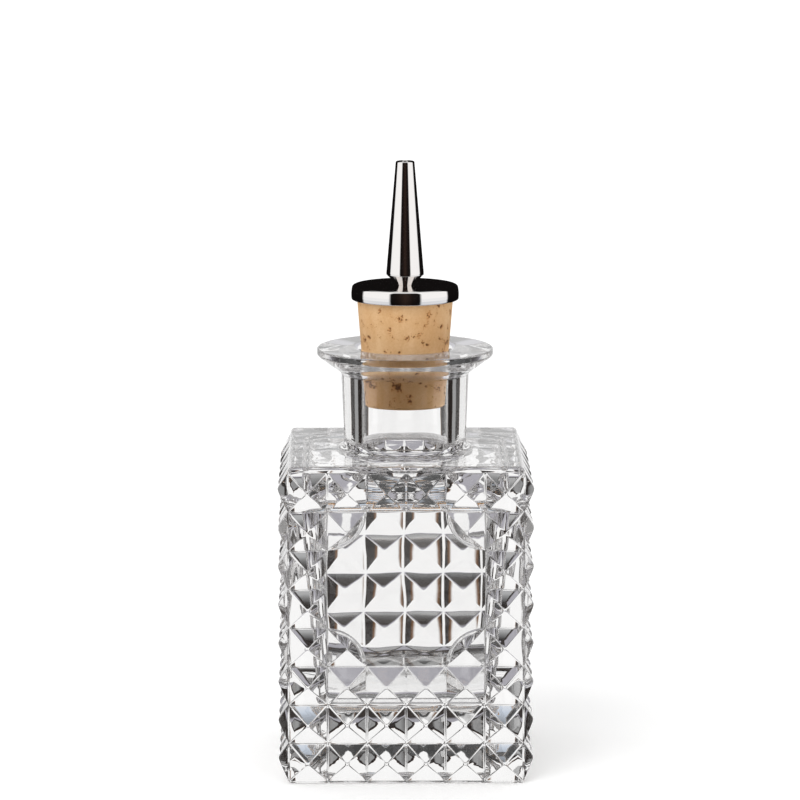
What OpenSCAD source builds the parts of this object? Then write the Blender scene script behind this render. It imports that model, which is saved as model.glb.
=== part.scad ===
// Square pressed glass bitters bottle with diamond faces, closed by a tapered
// cork that carries a metal cap, a stem tube and a conical dasher spout.
// Millimetres, +Z up, origin in the middle of the face the bottle stands on.
// The face with the bare panel looks along -Y.

/* [Diamond faces] */
// Side of one diamond point, from groove to groove
cell = 9; // [8:0.5:12]
// Diamond points across each face
columns = 6; // [5:1:8]
// Diamond points up each face
rows = 8; // [6:1:10]
// Height of a diamond point above the grooves
diamond_h = 2.4; // [1:0.1:3.5]
// Columns of points on either side of the bare front panel
panel_side_cells = 1; // [1:1:2]
// Rows of points under the bare front panel
panel_rows_below = 3; // [1:1:3]
// Rows of points over the bare front panel
panel_rows_above = 1; // [1:1:2]

/* [Body] */
// Plain heel under the lowest row of points
heel_h = 0.6; // [0.3:0.1:1.5]
// Plain band between the top row of points and the flat shoulder
shoulder_band_h = 1.3; // [0.5:0.1:4]
// Radius of the edge round the flat shoulder
shoulder_edge_r = 1.2; // [0.4:0.1:2]
// Glass between the grooves and the cavity, at the cavity's floor
wall_low_t = 6.2; // [4:0.1:7]
// Glass between the grooves and the cavity, at the cavity's roof
wall_high_t = 3; // [2:0.1:6]
// Height of the cavity floor above the table
floor_h = 18.8; // [8:0.2:24]
// Glass between the cavity and the flat shoulder
shoulder_t = 8.4; // [3:0.1:10]
// Radius of the upright corners of the cavity
cavity_corner_r = 4; // [2:0.5:8]
// Radius round the floor of the cavity
cavity_floor_r = 2.5; // [1:0.5:6]
// Radius under the roof of the cavity
cavity_roof_r = 2.5; // [1:0.5:10]
// Depth of the hollow under the base
base_hollow_h = 1; // [0.4:0.1:3]
// Width of the rim that the bottle stands on
base_rim_w = 6; // [3:0.5:12]
// Radius of the upright corners of the hollow under the base
base_hollow_corner_r = 7; // [3:0.5:10]

/* [Neck] */
// Height of the mouth above the flat shoulder
neck_h = 23.6; // [18:0.1:36]
// Glass round the bore at the foot of the neck
neck_wall_t = 4.15; // [3:0.05:6]
// Growth of the neck's radius from its foot to the flange
neck_flare = 0.6; // [0:0.1:2]
// Radius where the neck meets the flat shoulder
neck_foot_r = 1.7; // [0.5:0.1:3]
// Reach of the flange beyond the top of the neck
flange_reach = 5.65; // [3:0.05:9]
// Thickness of the flange at its rim
flange_t = 2.1; // [1.5:0.1:4]
// Height of the cone under the flange
flange_cone_h = 3.7; // [1:0.1:6]
// Fall of the flange's top from the mouth to the rim
flange_fall = 0.1; // [0.1:0.1:1]
// Radius of the rim's lower edge
flange_edge_r = 0.9; // [0.3:0.1:1]
// Radius of the rim's upper edge
flange_top_r = 0.4; // [0.2:0.1:0.5]
// Radius of the lip inside the mouth
mouth_lip_r = 2.4; // [0.4:0.1:3]

/* [Cork] */
// Diameter of the cork's lower end
cork_bottom_d = 18.3; // [15:0.1:22]
// Length of the cork
cork_h = 26.9; // [20:0.1:36]
// Slope of the cork's side from upright, in degrees
cork_taper = 4.6; // [1:0.1:6]
// Depth of the cork's lower end below the mouth
cork_depth = 13.2; // [8:0.1:16]
// Bevel round the cork's lower end
cork_bevel = 0.4; // [0.1:0.1:1]

/* [Stem tube] */
// Outer diameter of the tube through the cork
tube_d = 3; // [2.4:0.1:5]
// Bore of the tube
tube_bore_d = 2; // [1.2:0.1:2]

/* [Cap] */
// Thickness of the cap's top
cap_top_t = 0.8; // [0.5:0.1:2]
// Length of the skirt that covers the cork's upper edge
cap_skirt_h = 2.5; // [1:0.1:6]
// Thickness of the skirt
cap_skirt_t = 1.15; // [1:0.05:2]
// Radius of the cap's upper edge
cap_edge_r = 0.9; // [0.3:0.1:1.2]
// Radius of the skirt's lower edge
cap_lip_r = 0.3; // [0.1:0.05:0.4]

/* [Spout] */
// Height of the spout above the cap
spout_h = 28.8; // [20:0.1:45]
// Largest diameter of the spout, above its bevelled foot
spout_base_d = 8.74; // [7:0.02:12]
// Diameter of the spout's tip
spout_tip_d = 4.36; // [3.4:0.02:5]
// Height of the bevelled foot
spout_foot_h = 2.5; // [1:0.1:5]
// Width of the ring on which the foot stands
spout_land = 0.3; // [0.2:0.1:0.8]
// Depth of the socket that holds the stem tube
socket_depth = 8; // [4:0.5:12]
// Diameter of the drop outlet in the tip
outlet_d = 1.8; // [1:0.1:2.4]
// Radius of the tip's edge
tip_edge_r = 0.3; // [0.1:0.05:0.4]
// Depth of the fine ring groove above the foot
ring_groove = 0.12; // [0.05:0.01:0.3]

/* [Clearances] */
// Gap between the cork and the bore where the cork is held, under the lip
cork_gap = 0.05; // [0.02:0.01:0.1]
// Gap round the pieces pressed together in the stopper
fit_gap = 0.02; // [0.01:0.01:0.05]

/* [Hidden] */

turn_fn = 96;
hull_fn = 32;
slab = 0.01;
arc_steps = 6;
overlap = 1;

body_w = cell * columns;
grid_h = cell * rows;
shoulder_z = heel_h + grid_h + shoulder_band_h;
mouth_z = shoulder_z + neck_h;
cavity_low_half = body_w / 2 - wall_low_t;
cavity_high_half = body_w / 2 - wall_high_t;
cavity_top = shoulder_z - shoulder_t;
panel_w = cell * (columns - 2 * panel_side_cells);
panel_low = heel_h + cell * panel_rows_below;
panel_high = heel_h + cell * (rows - panel_rows_above);

cork_bottom_z = mouth_z - cork_depth;
cork_bottom_r = cork_bottom_d / 2;
cork_top_z = cork_bottom_z + cork_h;
cork_top_r = cork_bottom_r + cork_h * tan(cork_taper);
cork_grip_r = cork_bottom_r + (cork_depth - mouth_lip_r) * tan(cork_taper);
bore_r = cork_grip_r + cork_gap;
neck_foot_outer_r = bore_r + neck_wall_t;
neck_top_outer_r = neck_foot_outer_r + neck_flare;
flange_r = neck_top_outer_r + flange_reach;
rim_top_z = mouth_z - flange_fall;
rim_low_z = rim_top_z - flange_t;
flange_cone_z = rim_low_z - flange_cone_h;

tube_r = tube_d / 2;
cap_top_z = cork_top_z + cap_top_t;
cap_low_z = cork_top_z - cap_skirt_h;
cap_bore_r = cork_top_r + fit_gap;
cap_r = cap_bore_r + cap_skirt_t;
spout_top_z = cap_top_z + spout_h;
spout_cone_z = cap_top_z + spout_foot_h;
spout_base_r = spout_base_d / 2;
spout_tip_r = spout_tip_d / 2;
socket_r = tube_r + fit_gap;
socket_top_z = cap_top_z + socket_depth;

// Points of a round stretch about a centre, from one angle to another.
function arc(x, y, r, from, to) = [
    for (i = [0:arc_steps])
        let (a = from + (to - from) * i / arc_steps)
        [x + r * cos(a), y + r * sin(a)]
];

// Closed outline from its right half, given from the bottom to the top.
function both_sides(right) = concat(
    right,
    [for (i = [len(right) - 1:-1:0]) [-right[i][0], right[i][1]]]
);

// Zigzag of diamond points along a line: one peak in the middle of each cell.
function teeth(count, start) = [
    for (i = [0:count - 1], half = [0, 1])
        [start + cell * (i + half / 2), half * diamond_h]
];

// Outline of the body seen from above, with points on all four sides.
module plan_outline() {
    side = [for (p = teeth(columns, -body_w / 2)) [p[0], -body_w / 2 - p[1]]];
    polygon([
        for (turn = [0:3], p = side)
            let (a = 90 * turn)
            [p[0] * cos(a) - p[1] * sin(a), p[0] * sin(a) + p[1] * cos(a)]
    ]);
}

// Outline of the body seen from one side, with points on both flanks.
module side_outline() {
    flank = [for (p = teeth(rows, heel_h)) [body_w / 2 + p[1], p[0]]];
    edge_x = body_w / 2 - shoulder_edge_r;
    edge_z = shoulder_z - min(shoulder_edge_r, shoulder_band_h);
    right = concat(
        arc(body_w / 2 - heel_h, heel_h, heel_h, -90, -90 / arc_steps),
        flank,
        [[body_w / 2, heel_h + grid_h]],
        edge_z > heel_h + grid_h ? [[body_w / 2, edge_z]] : [],
        [
            for (i = [1:arc_steps])
                let (a = 90 * i / arc_steps)
                [
                    edge_x + shoulder_edge_r * cos(a),
                    edge_z + (shoulder_z - edge_z) * sin(a)
                ]
        ]
    );
    polygon(both_sides(right));
}

// Bar of a side outline that runs through the body along Y.
module side_bar() {
    reach = body_w + 4 * diamond_h;
    translate([0, reach / 2, 0])
        rotate([90, 0, 0])
            linear_extrude(reach)
                children();
}

// Both side bars crossed, so that every flank has the same outline.
module crossed_bars() {
    intersection() {
        side_bar() children();
        rotate([0, 0, 90]) side_bar() children();
    }
}

module square_body() {
    intersection() {
        linear_extrude(shoulder_z) plan_outline();
        crossed_bars() side_outline();
    }
}

// Diamond at a corner of the panel: its inner face is cut to a quarter round.
// The outer corner of the cell lies at the origin, and the point rises along +Z.
module quarter_diamond() {
    ring = concat([[0, 0]], arc(0, 0, cell, 0, 90));
    count = len(ring);
    top = [for (p = ring) [p[0], p[1], 0]];
    bottom = [for (p = ring) [p[0], p[1], -overlap]];
    apex = [[cell / 2, cell / 2, diamond_h]];
    polyhedron(
        points = concat(top, bottom, apex),
        faces = concat(
            [for (i = [0:count - 1]) [2 * count, (i + 1) % count, i]],
            [for (i = [0:count - 1]) [i, (i + 1) % count, count + (i + 1) % count]],
            [for (i = [0:count - 1]) [i, count + (i + 1) % count, count + i]],
            [[for (i = [0:count - 1]) count + i]]
        )
    );
}

// The four quarter diamonds in the corners of the front panel.
module panel_corners() {
    middle = (panel_low + panel_high) / 2;
    translate([0, -body_w / 2, middle])
        for (flip_x = [0, 1], flip_z = [0, 1])
            mirror([flip_x, 0, 0])
                mirror([0, 0, flip_z])
                    translate([-panel_w / 2, 0, panel_low - middle])
                        rotate([90, 0, 0])
                            quarter_diamond();
}

// Room that is cleared of points for the bare front panel.
module panel_clearing() {
    depth = diamond_h + overlap;
    translate([-panel_w / 2, -body_w / 2 - depth, panel_low])
        cube([panel_w, depth, panel_high - panel_low]);
}

// Square with rounded corners, centred, given by half its width.
module round_square(half, r, fn = turn_fn) {
    square([2 * half, 2 * (half - r)], center = true);
    square([2 * (half - r), 2 * half], center = true);
    for (x = [-1, 1], y = [-1, 1])
        translate([x * (half - r), y * (half - r)])
            circle(r, $fn = fn);
}

// Side view of the cavity, rounded at the floor and under the roof.
module cavity_outline() {
    floor_x = cavity_low_half - cavity_floor_r;
    roof_x = cavity_high_half - cavity_roof_r;
    right = concat(
        arc(floor_x, floor_h + cavity_floor_r, cavity_floor_r, -90, 0),
        arc(roof_x, cavity_top - cavity_roof_r, cavity_roof_r, 0, 90)
    );
    polygon(both_sides(right));
}

// Room for the liquid: its walls lean out from the floor to the roof.
module cavity() {
    intersection() {
        hull() {
            translate([0, 0, floor_h])
                linear_extrude(slab)
                    round_square(cavity_low_half, cavity_corner_r, hull_fn);
            translate([0, 0, cavity_top - slab])
                linear_extrude(slab)
                    round_square(cavity_high_half, cavity_corner_r, hull_fn);
        }
        crossed_bars() cavity_outline();
    }
}

// Hollow under the base, inside the rim that the bottle stands on.
module base_hollow() {
    half = body_w / 2 - base_rim_w;
    translate([0, 0, -overlap])
        linear_extrude(overlap + base_hollow_h)
            round_square(half, base_hollow_corner_r);
}

module neck_and_flange() {
    foot_x = neck_foot_outer_r + neck_foot_r;
    low_edge = min(flange_edge_r, flange_t / 2);
    top_edge = min(flange_top_r, flange_t / 2);
    rotate_extrude($fn = turn_fn)
        polygon(concat(
            [[0, shoulder_z - overlap], [foot_x, shoulder_z - overlap]],
            arc(foot_x, shoulder_z + neck_foot_r, neck_foot_r, -90, -180),
            [[neck_top_outer_r, flange_cone_z]],
            arc(flange_r - low_edge, rim_low_z + low_edge, low_edge, -45, 0),
            arc(flange_r - top_edge, rim_top_z - top_edge, top_edge, 0, 90),
            [[bore_r + mouth_lip_r, mouth_z], [0, mouth_z]]
        ));
}

// Straight way through the neck, with a round lip at the mouth.
module bore() {
    lip_x = bore_r + mouth_lip_r;
    rotate_extrude($fn = turn_fn)
        polygon(concat(
            [[0, cavity_top - overlap], [bore_r, cavity_top - overlap]],
            arc(lip_x, mouth_z - mouth_lip_r, mouth_lip_r, 180, 90),
            [[lip_x, mouth_z + overlap], [0, mouth_z + overlap]]
        ));
}

module bottle() {
    color("lightcyan", 0.5)
        difference() {
            union() {
                difference() {
                    square_body();
                    panel_clearing();
                }
                panel_corners();
                neck_and_flange();
            }
            cavity();
            bore();
            base_hollow();
        }
}

module cork() {
    color("burlywood")
        rotate_extrude($fn = turn_fn)
            polygon([
                [socket_r, cork_bottom_z],
                [cork_bottom_r - cork_bevel, cork_bottom_z],
                [
                    cork_bottom_r + cork_bevel * tan(cork_taper),
                    cork_bottom_z + cork_bevel
                ],
                [cork_top_r, cork_top_z],
                [socket_r, cork_top_z]
            ]);
}

module stem_tube() {
    color("silver")
        translate([0, 0, cork_bottom_z])
            difference() {
                cylinder(r = tube_r, h = socket_top_z - cork_bottom_z, $fn = turn_fn);
                translate([0, 0, -overlap])
                    cylinder(
                        d = tube_bore_d,
                        h = socket_top_z - cork_bottom_z + 2 * overlap,
                        $fn = turn_fn
                    );
            }
}

module cap() {
    edge = min(cap_edge_r, cap_skirt_t);
    color("dimgray")
        rotate_extrude($fn = turn_fn)
            polygon(concat(
                [
                    [socket_r, cork_top_z],
                    [cap_bore_r, cork_top_z],
                    [cap_bore_r, cap_low_z]
                ],
                arc(cap_r - cap_lip_r, cap_low_z + cap_lip_r, cap_lip_r, -90, 0),
                arc(cap_r - edge, cap_top_z - edge, edge, 0, 90),
                [[socket_r, cap_top_z]]
            ));
}

module spout() {
    slope = (spout_base_r - spout_tip_r) / (spout_top_z - spout_cone_z);
    groove_z = spout_cone_z + ring_groove;
    color("gray")
        rotate_extrude($fn = turn_fn)
            polygon(concat(
                [
                    [socket_r, cap_top_z],
                    [socket_r + spout_land, cap_top_z],
                    [spout_base_r, spout_cone_z],
                    [spout_base_r - ring_groove, groove_z],
                    [spout_base_r - slope * 2 * ring_groove, groove_z + ring_groove]
                ],
                arc(spout_tip_r - tip_edge_r, spout_top_z - tip_edge_r, tip_edge_r, 0, 90),
                [
                    [outlet_d / 2, spout_top_z],
                    [tube_bore_d / 2, socket_top_z],
                    [socket_r, socket_top_z]
                ]
            ));
}

bottle();
cork();
stem_tube();
cap();
spout();
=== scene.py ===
"""Looks of a square pressed glass bitters bottle with a cork dasher stopper.

Every length is in metres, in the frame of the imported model: +Z up, the bare
panel on the face towards -Y, the origin in the middle of the standing face.
"""

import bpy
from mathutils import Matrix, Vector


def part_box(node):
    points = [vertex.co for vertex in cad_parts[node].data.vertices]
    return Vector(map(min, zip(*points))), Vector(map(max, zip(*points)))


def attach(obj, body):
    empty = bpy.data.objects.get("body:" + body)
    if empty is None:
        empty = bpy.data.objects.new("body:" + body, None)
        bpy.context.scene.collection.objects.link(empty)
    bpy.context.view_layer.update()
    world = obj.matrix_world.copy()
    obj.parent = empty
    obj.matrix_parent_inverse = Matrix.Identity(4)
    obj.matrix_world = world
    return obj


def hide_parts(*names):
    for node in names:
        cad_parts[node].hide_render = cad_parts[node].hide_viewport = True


bl_info = {
    "name": "Bitters bottle",
    "version": (1, 0, 0),
    "blender": (4, 5, 0),
    "location": "3D View > Sidebar > Bottle",
    "description": "Makes a diamond glass bottle, its cork dasher stopper and a studio",
    "category": "Object",
}

import math

import bmesh
import bpy
import numpy as np
from bpy.props import FloatProperty, FloatVectorProperty, IntProperty, PointerProperty
from bpy.props import StringProperty
from mathutils import Vector

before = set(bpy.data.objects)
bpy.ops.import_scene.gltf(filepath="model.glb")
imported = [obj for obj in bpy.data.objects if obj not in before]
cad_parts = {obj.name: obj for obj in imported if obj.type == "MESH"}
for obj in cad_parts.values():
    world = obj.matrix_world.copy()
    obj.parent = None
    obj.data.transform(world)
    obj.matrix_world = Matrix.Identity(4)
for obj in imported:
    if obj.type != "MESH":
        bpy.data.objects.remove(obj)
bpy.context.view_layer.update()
BOTTLE_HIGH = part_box("bottle")[1]
CORK_LOW, CORK_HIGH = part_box("cork")
TUBE_LOW, TUBE_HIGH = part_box("stem_tube")
CAP_LOW, CAP_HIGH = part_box("cap")
SPOUT_LOW, SPOUT_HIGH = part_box("spout")

MM = 0.001
# Vertices closer than this are one.
MERGE = 2e-6
# Steps along a straight side and round a corner of the cavity's rings.
RING_SIDE = 12
RING_CORNER = 24
# Steps round a turned piece.
TURN_STEPS = 192
# Shares of a ridge's rounding by which the ridge and the tip stand lower.
RIDGE_DROP = 0.25
TIP_DROP = 0.7
# Kinds of node that come often.
MATHS, RAMP, MIX = "ShaderNodeMath", "ShaderNodeValToRGB", "ShaderNodeMix"
NOISE, MAP_RANGE = "ShaderNodeTexNoise", "ShaderNodeMapRange"


def length(name, description, millimetres):
    """Length that a user may change, its default given in millimetres."""
    return FloatProperty(
        name=name, description=description, default=millimetres * MM, unit="LENGTH")


def colour(name, description, hex_colour):
    """Colour that a user may change, as the eye sees it."""
    return StringProperty(
        name=name, description=f"{description}, sRGB hex", default=hex_colour)


def linear(hex_colour):
    """Linear RGBA of an sRGB colour written as RRGGBB."""
    parts = [int(hex_colour[i:i + 2], 16) / 255 for i in (0, 2, 4)]
    curve = [c / 12.92 if c <= 0.04045 else ((c + 0.055) / 1.055) ** 2.4 for c in parts]
    return (*curve, 1.0)


def add_node(tree, kind, inputs=None, stops=None, **settings):
    """Adds a node, with its settings, its input values or links and its ramp stops."""
    node = tree.nodes.new(kind)
    for name, value in settings.items():
        setattr(node, name, value)
    for key, value in (inputs or {}).items():
        socket = node.inputs[key]
        if isinstance(value, bpy.types.NodeSocket):
            tree.links.new(value, socket)
        else:
            socket.default_value = value
    if stops:
        ramp = node.color_ramp.elements
        while len(ramp) < len(stops):
            ramp.new(1.0)
        for element, (place, tint) in zip(ramp, stops):
            element.position = place
            element.color = tint
    return node


def new_material(name):
    """Empty node material: its tree, its output node and its object coordinates."""
    material = bpy.data.materials.new(name)
    material.use_nodes = True
    tree = material.node_tree
    tree.nodes.clear()
    output = add_node(tree, "ShaderNodeOutputMaterial")
    place = add_node(tree, "ShaderNodeTexCoord").outputs["Object"]
    return material, tree, output, place


class BottleSizes(bpy.types.PropertyGroup):
    """Sizes of the glass."""

    cell: length("Point pitch", "Side of one diamond point", 9)
    columns: IntProperty(
        name="Columns", description="Diamond points across a face", default=6)
    rows: IntProperty(
        name="Rows", description="Diamond points up a face", default=8)
    point_h: length("Point height", "Height of a point before it is rounded", 2.5)
    pillow: FloatProperty(
        name="Pillow", default=0.15,
        description="Share by which a point's foot is steeper than its mean")
    ridge_w: length("Ridge rounding", "Reach of the rounding from a ridge", 0.36)
    groove_w: length("Groove rounding", "Reach of the rounding from a groove", 0.32)
    corner_r: length("Corner radius", "Radius of the body's upright edges", 0.25)
    heel_h: length("Heel", "Plain heel under the points", 0.6)
    shoulder_z: length("Shoulder height", "Height of the flat shoulder", 73.9)
    shoulder_r: length("Shoulder radius", "Radius round the flat shoulder", 1.2)
    panel_side: IntProperty(
        name="Panel side", description="Columns beside the bare panel", default=1)
    panel_below: IntProperty(
        name="Panel below", description="Rows under the bare panel", default=3)
    panel_above: IntProperty(
        name="Panel above", description="Rows over the bare panel", default=1)
    wall_low: length(
        "Wall low", "Glass from the grooves to the cavity, at its floor", 6.2)
    wall_high: length(
        "Wall high", "Glass from the grooves to the cavity, at its roof", 3.0)
    floor_z: length("Cavity floor", "Height of the cavity's floor", 18.8)
    roof_z: length("Cavity roof", "Height of the cavity's roof", 65.5)
    cavity_corner: length("Cavity corners", "Radius of the cavity's upright corners", 4)
    floor_r: length("Floor radius", "Radius round the cavity's floor", 2.5)
    roof_r: length("Roof radius", "Radius round the cavity's roof", 2.5)
    crown: length("Crown", "Extra glass in the middle of each wall", 0.45)
    ripple: length("Ripple", "Waviness of the cavity's blown wall", 0.06)
    bore_r: length("Bore", "Radius of the bore in the neck", 10.07)
    lip_r: length("Lip", "Radius of the lip inside the mouth", 2.4)
    neck_foot: length("Neck foot", "Outer radius of the neck at its foot", 14.2)
    neck_top: length("Neck top", "Outer radius of the neck under the flange", 14.8)
    flange_r: length("Flange", "Radius of the flange", 20.45)
    flange_t: length("Rim", "Thickness of the flange at its rim", 2.1)


class StopperSizes(bpy.types.PropertyGroup):
    """Sizes of the stopper's own details. The rest comes from the frame."""

    cork_low_r: length("Cork end", "Radius of the cork's lower end", 9.15)
    bore_r: length("Stem bore", "Radius of the hole for the stem tube", 1.52)
    pore_count: IntProperty(
        name="Pores", description="Number of pores in the cork's side", default=34)
    pore_depth: length("Pore depth", "Depth of the deepest pores", 0.5)
    pore_seed: IntProperty(
        name="Pore seed", description="Seed of the pores' places", default=11)
    cap_edge: length("Cap edge", "Radius of the cap's upper edge", 0.7)
    cap_lip: length("Cap lip", "Radius of the skirt's lower edge", 0.3)
    foot_h: length("Foot", "Height of the spout's bevelled foot", 2.5)
    tip_r: length("Tip", "Radius of the spout's tip", 2.18)
    outlet_r: length("Outlet", "Radius of the drop outlet", 0.9)
    groove: length("Ring groove", "Depth of the ring groove over the foot", 0.12)


class Finishes(bpy.types.PropertyGroup):
    """Colours of the finishes, as the eye sees them."""

    cork_pale: colour("Pale cork", "Lighter cork", "EEC594")
    cork_deep: colour("Deep cork", "Darker cork", "DDAC76")
    cork_halo: colour("Pore edge", "Cork round a pore", "C07A38")
    cork_pore: colour("Pore", "Inside of a pore", "5B3A20")
    chrome: colour("Chrome", "Polished chrome", "F4F1EF")
    steel: colour("Steel", "Drawn steel tube", "C4C0BA")
    floor: colour("Floor", "Studio floor", "F4F4F4")


class StudioSettings(bpy.types.PropertyGroup):
    """Camera: its aim, distance, elevation, azimuth and lens."""

    aim: FloatVectorProperty(
        name="Aim", description="Point that the camera looks at",
        default=(-1.17 * MM, 0.0, 84.9 * MM), subtype="TRANSLATION")
    distance: FloatProperty(
        name="Distance", description="Camera to the aim point",
        default=1.0746, unit="LENGTH")
    elevation: FloatProperty(
        name="Elevation", description="Camera above the horizon",
        default=math.radians(9.57), subtype="ANGLE")
    azimuth: FloatProperty(
        name="Azimuth", description="Camera round the bottle from the front",
        default=math.radians(-0.52), subtype="ANGLE")
    lens: FloatProperty(
        name="Lens", description="Focal length on a 36 mm sensor", default=207.85)


def sizes():
    """Sizes of the glass, as they are set."""
    return bpy.context.scene.bottle_sizes


def stopper_sizes():
    """Sizes of the stopper's details, as they are set."""
    return bpy.context.scene.stopper_sizes


def finishes():
    """Colours of the finishes, as they are set."""
    return bpy.context.scene.bottle_finishes


def glass_material():
    """Pressed soda-lime glass, fire polished: clear, with faint ripples."""
    material, tree, output, place = new_material("Soda lime glass")
    # Ripples about 7 mm long that fire polishing leaves in the surface.
    ripple = add_node(tree, NOISE, {
        "Vector": place, "Scale": 1 / (7 * MM), "Detail": 1.0, "Roughness": 0.4})
    # The flat shoulder keeps stronger waves, about 5 mm long, where the mould parted.
    melt = add_node(tree, NOISE, {
        "Vector": place, "Scale": 1 / (5 * MM), "Detail": 0.0})
    height = add_node(tree, "ShaderNodeSeparateXYZ", {0: place}).outputs["Z"]
    shoulder = sizes().shoulder_z
    top = add_node(tree, MAP_RANGE, {
        "Value": height, "From Min": shoulder - 0.7 * MM, "From Max": shoulder,
        "To Max": 3.0})
    below = add_node(tree, MAP_RANGE, {
        "Value": height, "From Min": shoulder + 0.6 * MM,
        "From Max": shoulder + 2.6 * MM, "To Min": 1.0, "To Max": 0.0})
    share = add_node(tree, MATHS, {
        0: top.outputs["Result"], 1: below.outputs["Result"]}, operation="MULTIPLY")
    waves = add_node(tree, MATHS, {
        0: melt.outputs["Fac"], 1: share.outputs["Value"], 2: ripple.outputs["Fac"]},
        operation="MULTIPLY_ADD")
    bump = add_node(tree, "ShaderNodeBump", {
        "Height": waves.outputs["Value"], "Distance": 0.03 * MM, "Strength": 1.0})
    shader = add_node(tree, "ShaderNodeBsdfPrincipled", {
        "Base Color": (1.0, 1.0, 1.0, 1.0), "Roughness": 0.0, "IOR": 1.52,
        "Transmission Weight": 1.0, "Normal": bump.outputs["Normal"]})
    tree.links.new(shader.outputs["BSDF"], output.inputs["Surface"])
    return material


def cork_material():
    """Natural punched cork: matt, grainy, with dark pores and warm edges to them."""
    look = finishes()
    material, tree, output, place = new_material("Natural cork")
    # Cell clusters of about 0.5 mm give the fine speckle.
    grain = add_node(tree, NOISE, {
        "Vector": place, "Scale": 1 / (0.5 * MM), "Detail": 4.0, "Roughness": 0.7})
    # Growth bands of about 4 mm run up the stopper and wander a little.
    stretched = add_node(tree, "ShaderNodeMapping", {
        "Vector": place, "Scale": (1.0, 1.0, 0.3)})
    bands = add_node(tree, NOISE, {
        "Vector": stretched.outputs["Vector"], "Scale": 1 / (4 * MM), "Detail": 3.0})
    tone = add_node(tree, MATHS, {
        0: bands.outputs["Fac"], 1: 0.6}, operation="MULTIPLY")
    mixed = add_node(tree, MATHS, {
        0: grain.outputs["Fac"], 1: 0.4, 2: tone.outputs["Value"]},
        operation="MULTIPLY_ADD")
    base = add_node(tree, RAMP, {"Fac": mixed.outputs["Value"]}, stops=[
        (0.36, linear(look.cork_deep)), (0.62, linear(look.cork_pale))])
    # Specks of about 0.5 mm stand in clusters of about 2.5 mm.
    cluster = add_node(tree, NOISE, {
        "Vector": place, "Scale": 1 / (2.5 * MM), "Detail": 1.0})
    speck = add_node(tree, NOISE, {
        "Vector": place, "Scale": 1 / (0.5 * MM), "Detail": 3.0, "Roughness": 0.65})
    crowd = add_node(tree, MATHS, {
        0: cluster.outputs["Fac"], 1: 1.3, 2: speck.outputs["Fac"]},
        operation="MULTIPLY_ADD")
    rim = add_node(tree, MAP_RANGE, {
        "Value": crowd.outputs["Value"], "From Min": 1.31, "From Max": 1.4,
        "To Max": 0.7})
    hole = add_node(tree, MAP_RANGE, {
        "Value": crowd.outputs["Value"], "From Min": 1.41, "From Max": 1.48,
        "To Max": 0.85})
    pores = add_node(tree, "ShaderNodeAttribute", attribute_name="pore")
    halo = add_node(tree, "ShaderNodeAttribute", attribute_name="halo")
    edges = add_node(tree, MATHS, {
        0: halo.outputs["Fac"], 1: rim.outputs["Result"]}, operation="MAXIMUM")
    holes = add_node(tree, MATHS, {
        0: pores.outputs["Fac"], 1: hole.outputs["Result"]}, operation="MAXIMUM")
    warm = add_node(tree, MIX, {
        "Factor": edges.outputs["Value"], "A": base.outputs["Color"],
        "B": linear(look.cork_halo)}, data_type="RGBA")
    dark = add_node(tree, MIX, {
        "Factor": holes.outputs["Value"], "A": warm.outputs["Result"],
        "B": linear(look.cork_pore)}, data_type="RGBA")
    bump = add_node(tree, "ShaderNodeBump", {
        "Height": grain.outputs["Fac"], "Distance": 0.05 * MM, "Strength": 0.7})
    shader = add_node(tree, "ShaderNodeBsdfPrincipled", {
        "Base Color": dark.outputs["Result"], "Roughness": 0.85,
        "Normal": bump.outputs["Normal"]})
    tree.links.new(shader.outputs["BSDF"], output.inputs["Surface"])
    return material


def chrome_material():
    """Polished chrome plate on turned brass: a mirror with faint wipe marks."""
    material, tree, output, place = new_material("Polished chrome plate")
    # Wipe marks about 3 mm across dull the mirror a little.
    smudge = add_node(tree, NOISE, {
        "Vector": place, "Scale": 1 / (3 * MM), "Detail": 3.0, "Roughness": 0.6})
    rough = add_node(tree, MAP_RANGE, {
        "Value": smudge.outputs["Fac"], "From Min": 0.35, "From Max": 0.75,
        "To Min": 0.03, "To Max": 0.08})
    shader = add_node(tree, "ShaderNodeBsdfPrincipled", {
        "Base Color": linear(finishes().chrome), "Metallic": 1.0,
        "Roughness": rough.outputs["Result"]})
    tree.links.new(shader.outputs["BSDF"], output.inputs["Surface"])
    return material


def steel_material():
    """Drawn stainless tube: grey, with fine lines along its length."""
    material, tree, output, place = new_material("Drawn stainless steel")
    # Die lines 0.1 mm apart, drawn out along the tube.
    lines = add_node(tree, "ShaderNodeMapping", {
        "Vector": place, "Scale": (1.0, 1.0, 0.02)})
    streaks = add_node(tree, NOISE, {
        "Vector": lines.outputs["Vector"], "Scale": 1 / (0.1 * MM), "Detail": 2.0})
    rough = add_node(tree, MAP_RANGE, {
        "Value": streaks.outputs["Fac"], "To Min": 0.2, "To Max": 0.4})
    shader = add_node(tree, "ShaderNodeBsdfPrincipled", {
        "Base Color": linear(finishes().steel), "Metallic": 1.0,
        "Roughness": rough.outputs["Result"]})
    tree.links.new(shader.outputs["BSDF"], output.inputs["Surface"])
    return material


def circle(r, angles):
    """Points of a circle round the axis."""
    return [(r * math.cos(a), r * math.sin(a)) for a in angles]


def arc(x, y, r, start, end, steps):
    """Points of a round stretch from one angle to another, in degrees."""
    angles = np.radians(np.linspace(start, end, steps + 1))
    return [(x + r * math.cos(a), y + r * math.sin(a)) for a in angles]


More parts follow.
